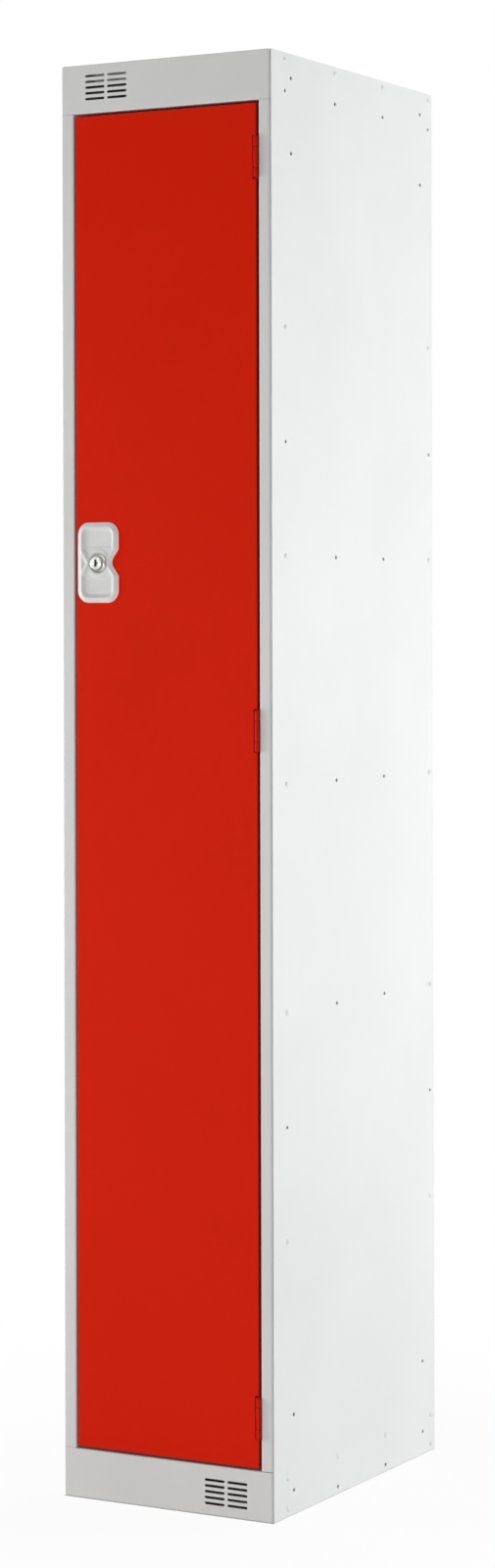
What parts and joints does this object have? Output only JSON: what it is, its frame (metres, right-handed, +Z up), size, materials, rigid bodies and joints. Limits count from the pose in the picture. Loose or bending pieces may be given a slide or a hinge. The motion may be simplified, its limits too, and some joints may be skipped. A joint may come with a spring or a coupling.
{
  "type": "industrial locker",
  "caption": "Tall narrow steel locker with a flush red door on barrel hinges, a cylinder lock in a dished housing, a hat shelf and a vented header and plinth.",
  "frame": {"origin": "on the floor under the middle of the carcass", "axes": "+Z up, -Y out of the door's front, +X towards the hinge side"},
  "size_m": [0.3034, 0.4574, 1.8],
  "materials": {
    "white_paint": "smooth satin powder coat",
    "grey_paint": "smooth satin powder coat",
    "red_paint": "smooth satin powder coat",
    "housing_plastic": "satin moulded",
    "nickel": "bright nickel plate",
    "zinc_steel": "zinc plate",
    "black_rubber": "matt"
  },
  "bodies": {
    "carcass": {"side_panel_left": "white_paint", "side_panel_right": "white_paint", "back_panel": "white_paint", "top_panel": "white_paint", "base_panel": "white_paint", "frame_header": "grey_paint", "frame_plinth": "grey_paint", "frame_post_left": "grey_paint", "frame_post_right": "grey_paint", "hat_shelf": "white_paint", "coat_hook": "zinc_steel", "hook_rivet_left": "zinc_steel", "hook_rivet_right": "zinc_steel", "door_buffer_upper": "black_rubber", "door_buffer_lower": "black_rubber", "hinge_leaf_frame_top": "red_paint", "hinge_leaf_frame_middle": "red_paint", "hinge_leaf_frame_bottom": "red_paint", "hinge_pin_top": "red_paint", "hinge_pin_middle": "red_paint", "hinge_pin_bottom": "red_paint", "rivet_left_top_1": "white_paint", "rivet_left_top_2": "white_paint", "rivet_left_top_3": "white_paint", "rivet_left_top_4": "white_paint", "rivet_left_base_1": "white_paint", "rivet_left_base_2": "white_paint", "rivet_left_base_3": "white_paint", "rivet_left_base_4": "white_paint", "rivet_left_front_1": "white_paint", "rivet_left_front_2": "white_paint", "rivet_left_front_3": "white_paint", "rivet_left_front_4": "white_paint", "rivet_left_front_5": "white_paint", "rivet_right_top_1": "white_paint", "rivet_right_top_2": "white_paint", "rivet_right_top_3": "white_paint", "rivet_right_top_4": "white_paint", "rivet_right_base_1": "white_paint", "rivet_right_base_2": "white_paint", "rivet_right_base_3": "white_paint", "rivet_right_base_4": "white_paint", "rivet_right_front_1": "white_paint", "rivet_right_front_2": "white_paint", "rivet_right_front_3": "white_paint", "rivet_right_front_4": "white_paint", "rivet_right_front_5": "white_paint"},
    "door": {"door_skin": "red_paint", "door_stiffener": "zinc_steel", "hinge_leaf_door_top": "red_paint", "hinge_leaf_door_middle": "red_paint", "hinge_leaf_door_bottom": "red_paint", "lock_housing": "housing_plastic", "lock_body": "nickel", "lock_nut": "zinc_steel"},
    "lock": {"lock_plug": "nickel", "lock_cam": "zinc_steel", "cam_screw": "zinc_steel"}
  },
  "joints": [
    {"name": "door_hinge", "type": "hinge", "parent": "carcass", "child": "door", "pos_m": [0.131, -0.2272, 0.9], "axis": [0, 0, 1], "range_deg": [0, 110]},
    {"name": "lock_turn", "type": "hinge", "parent": "door", "child": "lock", "pos_m": [-0.0963, -0.225, 1.174], "axis": [0, 1, 0], "range_deg": [0, 90]}
  ]
}
